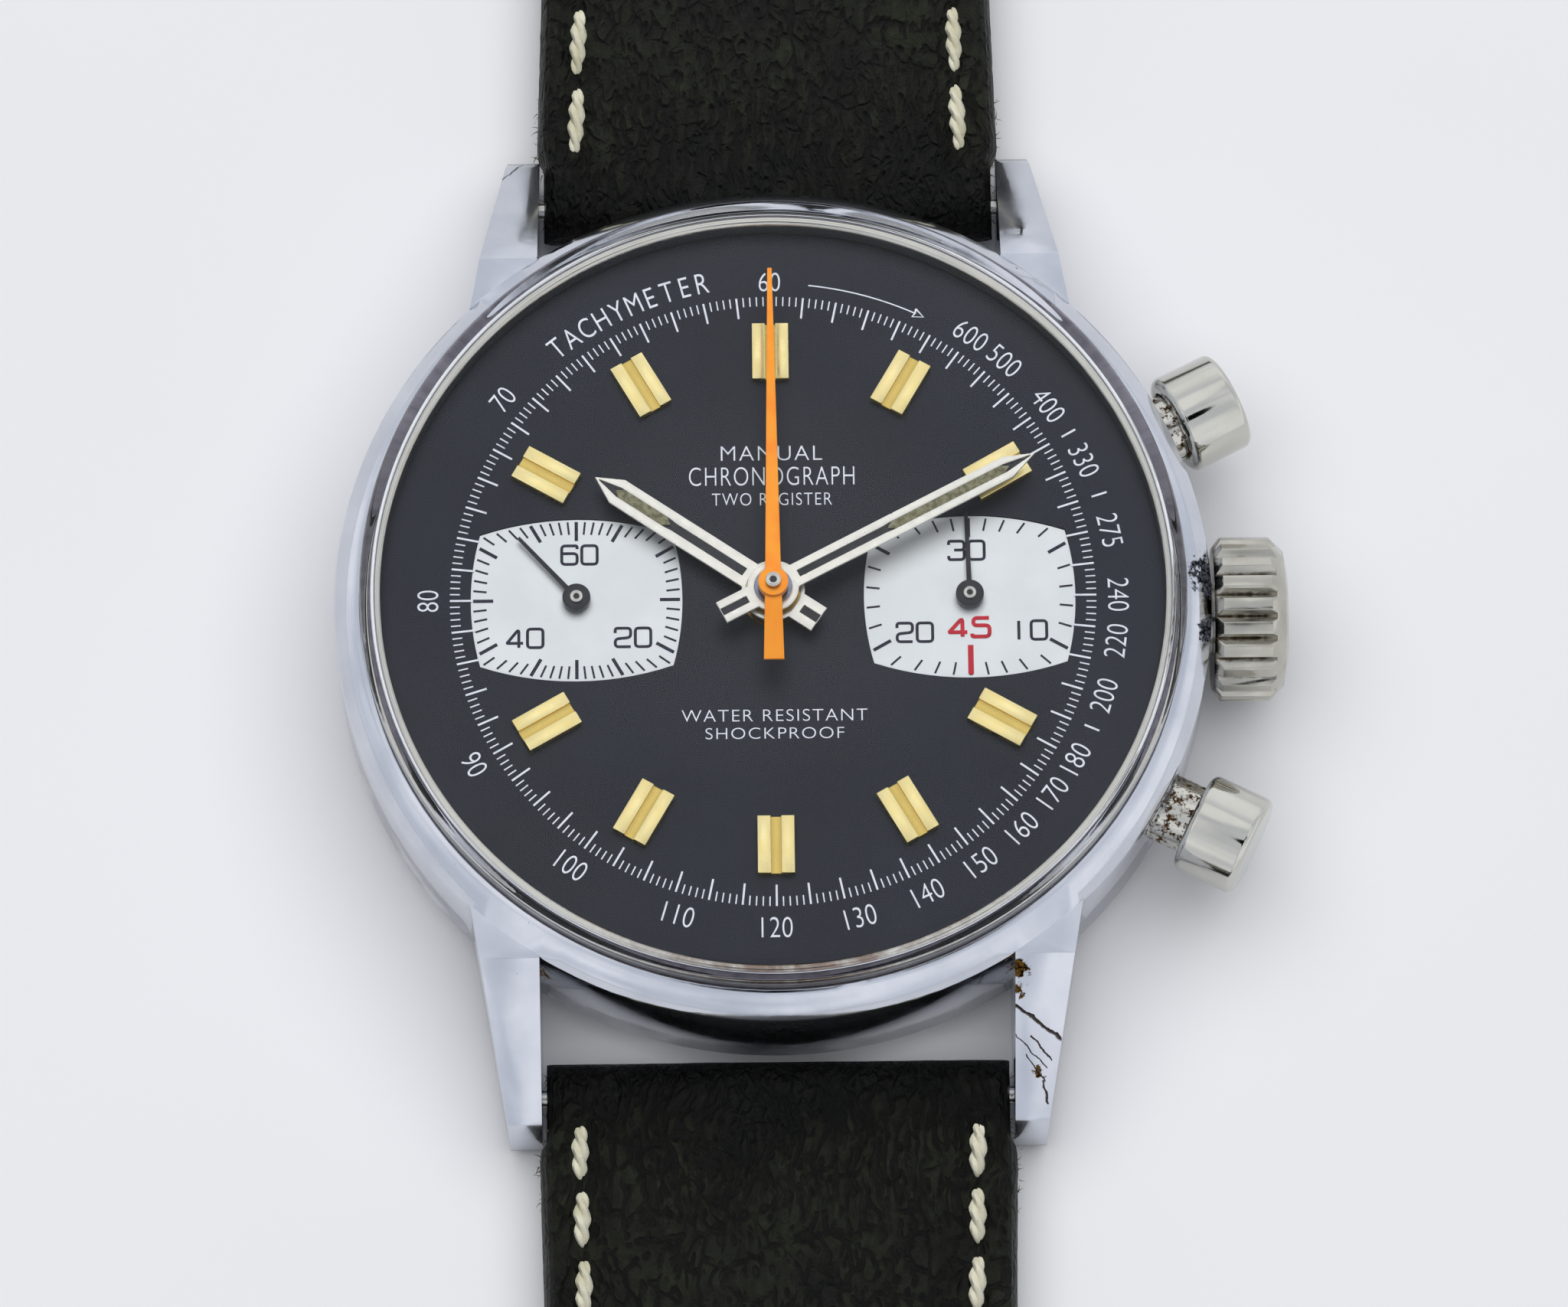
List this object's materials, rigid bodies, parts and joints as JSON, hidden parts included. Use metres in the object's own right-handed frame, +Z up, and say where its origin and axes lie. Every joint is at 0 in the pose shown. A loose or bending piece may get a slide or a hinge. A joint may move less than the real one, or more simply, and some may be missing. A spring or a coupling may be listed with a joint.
{
  "type": "chronograph wristwatch",
  "caption": "Hand-wound chronograph wristwatch: round lugged case, domed crystal, two-register dial, two round pushers, crown and a two-piece leather strap laid open.",
  "frame": {"origin": "centre of the case back's outer face, which the watch rests on", "axes": "+Z up through the dial and crystal, +Y towards 12 o'clock along the strap, +X towards 3 o'clock and the crown"},
  "size_m": [0.0409, 0.2387, 0.0124],
  "materials": {
    "chromed_case": "polished chrome plate on brass, lightly worn",
    "case_back_steel": "polished stainless steel",
    "polished_steel": "polished stainless steel",
    "acrylic_crystal": "clear polished acrylic",
    "gasket_rubber": "moulded nitrile rubber",
    "dial_lacquer": "gloss lacquer over brass",
    "gilt_markers": "gilt, faceted and polished",
    "nickel_hands": "nickel-plated brass",
    "orange_hand": "matt orange enamel",
    "black_hand": "black enamel",
    "nickelled_brass": "nickel-plated, grained brass",
    "gilt_brass": "gilt brass",
    "spring_steel": "hardened, polished steel",
    "ruby": "synthetic ruby",
    "strap_leather": "grained black-brown leather with cream stitching",
    "buckle_steel": "polished stainless steel"
  },
  "bodies": {
    "case": {"case_middle": "chromed_case", "case_back": "case_back_steel", "case_back_gasket": "gasket_rubber", "crystal": "acrylic_crystal", "tension_ring": "case_back_steel", "crown_tube": "case_back_steel", "top_pusher_spring": "spring_steel", "bottom_pusher_spring": "spring_steel", "pusher_tubes": "case_back_steel", "dial": "dial_lacquer", "hour_markers": "gilt_markers", "hairspring": "spring_steel", "mainplate": "nickelled_brass", "train_bridge": "nickelled_brass", "barrel_bridge": "nickelled_brass", "balance_cock": "nickelled_brass", "pallet_bridge": "nickelled_brass", "chronograph_bridge": "nickelled_brass", "jewels": "ruby", "bridge_screws": "spring_steel", "lug_spring_bars": "case_back_steel"},
    "minute_train": {"center_wheel": "gilt_brass", "cannon_pinion": "spring_steel", "minute_hand": "nickel_hands"},
    "hour_train": {"hour_wheel": "gilt_brass", "hour_hand": "nickel_hands"},
    "minute_wheel": {"minute_wheel": "gilt_brass"},
    "third_wheel": {"third_wheel": "gilt_brass"},
    "seconds_train": {"fourth_wheel": "gilt_brass", "running_seconds_hand": "black_hand"},
    "escape_wheel": {"escape_wheel": "spring_steel"},
    "barrel": {"barrel": "gilt_brass", "mainspring": "spring_steel"},
    "balance": {"balance_wheel": "gilt_brass"},
    "pallet_fork": {"pallet_fork": "spring_steel"},
    "chronograph_train": {"chronograph_runner": "gilt_brass", "chronograph_hand": "orange_hand"},
    "minute_counter": {"minute_counter_wheel": "gilt_brass", "minute_counter_hand": "black_hand"},
    "clutch_lever": {"clutch_lever": "spring_steel"},
    "clutch_wheel": {"clutch_wheel": "gilt_brass"},
    "reset_hammer": {"reset_hammer": "spring_steel"},
    "operating_lever": {"operating_lever": "spring_steel"},
    "switching_cam": {"switching_cam": "spring_steel"},
    "crown_slide": {"crown_gasket": "gasket_rubber"},
    "crown": {"crown": "polished_steel", "winding_stem": "spring_steel"},
    "sliding_pinion": {"sliding_pinion": "spring_steel"},
    "winding_pinion": {"winding_pinion": "spring_steel"},
    "crown_wheel": {"crown_wheel": "spring_steel"},
    "ratchet_wheel": {"ratchet_wheel": "spring_steel"},
    "top_pusher": {"top_pusher": "polished_steel"},
    "bottom_pusher": {"bottom_pusher": "polished_steel"},
    "strap_buckle_side": {"strap_buckle_side": "strap_leather", "fixed_keeper": "strap_leather", "buckle_spring_bar": "case_back_steel"},
    "strap_hole_side": {"strap_hole_side": "strap_leather"},
    "free_keeper": {"free_keeper": "strap_leather"},
    "buckle": {"buckle_frame": "buckle_steel"},
    "tang": {"buckle_tang": "buckle_steel"}
  },
  "joints": [
    {"name": "minute_hand_turn", "type": "hinge", "parent": "case", "child": "minute_train", "pos_m": [0, 0, 0.005], "axis": [0, 0, -1], "continuous": true},
    {"name": "hour_hand_turn", "type": "hinge", "parent": "case", "child": "hour_train", "pos_m": [0, 0, 0.005], "axis": [0, 0, -1], "continuous": true},
    {"name": "minute_wheel_turn", "type": "hinge", "parent": "case", "child": "minute_wheel", "pos_m": [0, 0.0036, 0.005], "axis": [0, 0, -1], "continuous": true},
    {"name": "third_wheel_turn", "type": "hinge", "parent": "case", "child": "third_wheel", "pos_m": [-0.00472, 0.00212, 0.005], "axis": [0, 0, -1], "continuous": true},
    {"name": "running_seconds_turn", "type": "hinge", "parent": "case", "child": "seconds_train", "pos_m": [-0.0084, 0, 0.005], "axis": [0, 0, -1], "continuous": true},
    {"name": "escape_wheel_turn", "type": "hinge", "parent": "case", "child": "escape_wheel", "pos_m": [-0.00749, -0.0034, 0.005], "axis": [0, 0, -1], "continuous": true},
    {"name": "barrel_turn", "type": "hinge", "parent": "case", "child": "barrel", "pos_m": [0.00437, 0.00366, 0.005], "axis": [0, 0, -1], "continuous": true},
    {"name": "balance_swing", "type": "hinge", "parent": "case", "child": "balance", "pos_m": [-0.00414, -0.008, 0.005], "axis": [0, 0, -1], "range_deg": [-270, 270], "stiffness_Nm_per_rad": 0.0000004, "deforming": ["hairspring"]},
    {"name": "pallet_fork_swing", "type": "hinge", "parent": "case", "child": "pallet_fork", "pos_m": [-0.006, -0.00546, 0.005], "axis": [0, 0, -1], "range_deg": [-5, 5]},
    {"name": "chronograph_hand_turn", "type": "hinge", "parent": "case", "child": "chronograph_train", "pos_m": [0, 0, 0.005], "axis": [0, 0, -1], "continuous": true},
    {"name": "minute_counter_turn", "type": "hinge", "parent": "case", "child": "minute_counter", "pos_m": [0.0084, 0, 0.005], "axis": [0, 0, -1], "continuous": true},
    {"name": "clutch_lever_swing", "type": "hinge", "parent": "case", "child": "clutch_lever", "pos_m": [-0.0084, 0, 0.005], "axis": [0, 0, -1], "range_deg": [0, 4.2]},
    {"name": "clutch_wheel_turn", "type": "hinge", "parent": "clutch_lever", "child": "clutch_wheel", "pos_m": [-0.0058, 0.00304, 0.005], "axis": [0, 0, -1], "continuous": true},
    {"name": "reset_hammer_swing", "type": "hinge", "parent": "case", "child": "reset_hammer", "pos_m": [0.0136, 0.0019, 0.005], "axis": [0, 0, -1], "range_deg": [0, 9]},
    {"name": "operating_lever_swing", "type": "hinge", "parent": "case", "child": "operating_lever", "pos_m": [0.0085, 0.0115, 0.005], "axis": [0, 0, -1], "range_deg": [0, 6.5]},
    {"name": "switching_cam_turn", "type": "hinge", "parent": "case", "child": "switching_cam", "pos_m": [0.0005, 0.009, 0.005], "axis": [0, 0, -1], "range_deg": [0, 30]},
    {"name": "crown_pull", "type": "slide", "parent": "case", "child": "crown_slide", "axis": [1, 0, 0], "range_m": [0, 0.001]},
    {"name": "crown_turn", "type": "hinge", "parent": "crown_slide", "child": "crown", "pos_m": [0.0195, 0, 0.00475], "axis": [1, 0, 0], "continuous": true},
    {"name": "sliding_pinion_slide", "type": "slide", "parent": "crown", "child": "sliding_pinion", "axis": [1, 0, 0], "range_m": [-0.0018, 0]},
    {"name": "winding_pinion_turn", "type": "hinge", "parent": "case", "child": "winding_pinion", "pos_m": [0.011, 0, 0.00475], "axis": [1, 0, 0], "continuous": true},
    {"name": "crown_wheel_turn", "type": "hinge", "parent": "case", "child": "crown_wheel", "pos_m": [0.01025, 0.00325, 0.005], "axis": [0, 0, -1], "continuous": true},
    {"name": "ratchet_wheel_turn", "type": "hinge", "parent": "case", "child": "ratchet_wheel", "pos_m": [0.00437, 0.00366, 0.005], "axis": [0, 0, -1], "continuous": true},
    {"name": "top_pusher_press", "type": "slide", "parent": "case", "child": "top_pusher", "axis": [-0.891, -0.454, 0], "range_m": [0, 0.00065], "stiffness_N_per_m": 800, "springref_m": -0.001, "deforming": ["top_pusher_spring"]},
    {"name": "bottom_pusher_press", "type": "slide", "parent": "case", "child": "bottom_pusher", "axis": [-0.891, 0.454, 0], "range_m": [0, 0.0012], "stiffness_N_per_m": 800, "springref_m": -0.001, "deforming": ["bottom_pusher_spring"]},
    {"name": "buckle_side_strap_fold", "type": "hinge", "parent": "case", "child": "strap_buckle_side", "pos_m": [0, 0.0204, 0.0019], "axis": [1, 0, 0], "range_deg": [-80, 25]},
    {"name": "hole_side_strap_fold", "type": "hinge", "parent": "case", "child": "strap_hole_side", "pos_m": [0, -0.0204, 0.0019], "axis": [-1, 0, 0], "range_deg": [-80, 25]},
    {"name": "free_keeper_slide", "type": "slide", "parent": "strap_buckle_side", "child": "free_keeper", "axis": [0, 1, 0], "range_m": [-0.01, 0.005]},
    {"name": "buckle_swing", "type": "hinge", "parent": "strap_buckle_side", "child": "buckle", "pos_m": [0, 0.0934, 0.00205], "axis": [1, 0, 0], "range_deg": [-60, 60]},
    {"name": "tang_swing", "type": "hinge", "parent": "buckle", "child": "tang", "pos_m": [0, 0.0934, 0.00205], "axis": [1, 0, 0], "range_deg": [0, 45]}
  ],
  "couplings": [
    {"joint": "hour_hand_turn", "follows": "minute_hand_turn", "ratio": 0.083333},
    {"joint": "minute_wheel_turn", "follows": "minute_hand_turn", "ratio": -0.33333},
    {"joint": "third_wheel_turn", "follows": "minute_hand_turn", "ratio": -8},
    {"joint": "running_seconds_turn", "follows": "minute_hand_turn", "ratio": 60},
    {"joint": "escape_wheel_turn", "follows": "minute_hand_turn", "ratio": -600},
    {"joint": "barrel_turn", "follows": "minute_hand_turn", "ratio": -0.16667},
    {"joint": "clutch_wheel_turn", "follows": "minute_hand_turn", "ratio": -60},
    {"joint": "minute_counter_turn", "follows": "chronograph_hand_turn", "ratio": 0.033333},
    {"joint": "winding_pinion_turn", "follows": "crown_turn", "ratio": 1},
    {"joint": "crown_wheel_turn", "follows": "crown_turn", "ratio": 0.325},
    {"joint": "ratchet_wheel_turn", "follows": "crown_turn", "ratio": -0.25},
    {"joint": "sliding_pinion_slide", "follows": "crown_pull", "ratio": -1.5},
    {"joint": "operating_lever_swing", "follows": "top_pusher_press", "rad_per_m": 156.5},
    {"joint": "reset_hammer_swing", "follows": "bottom_pusher_press", "rad_per_m": 127.1}
  ]
}
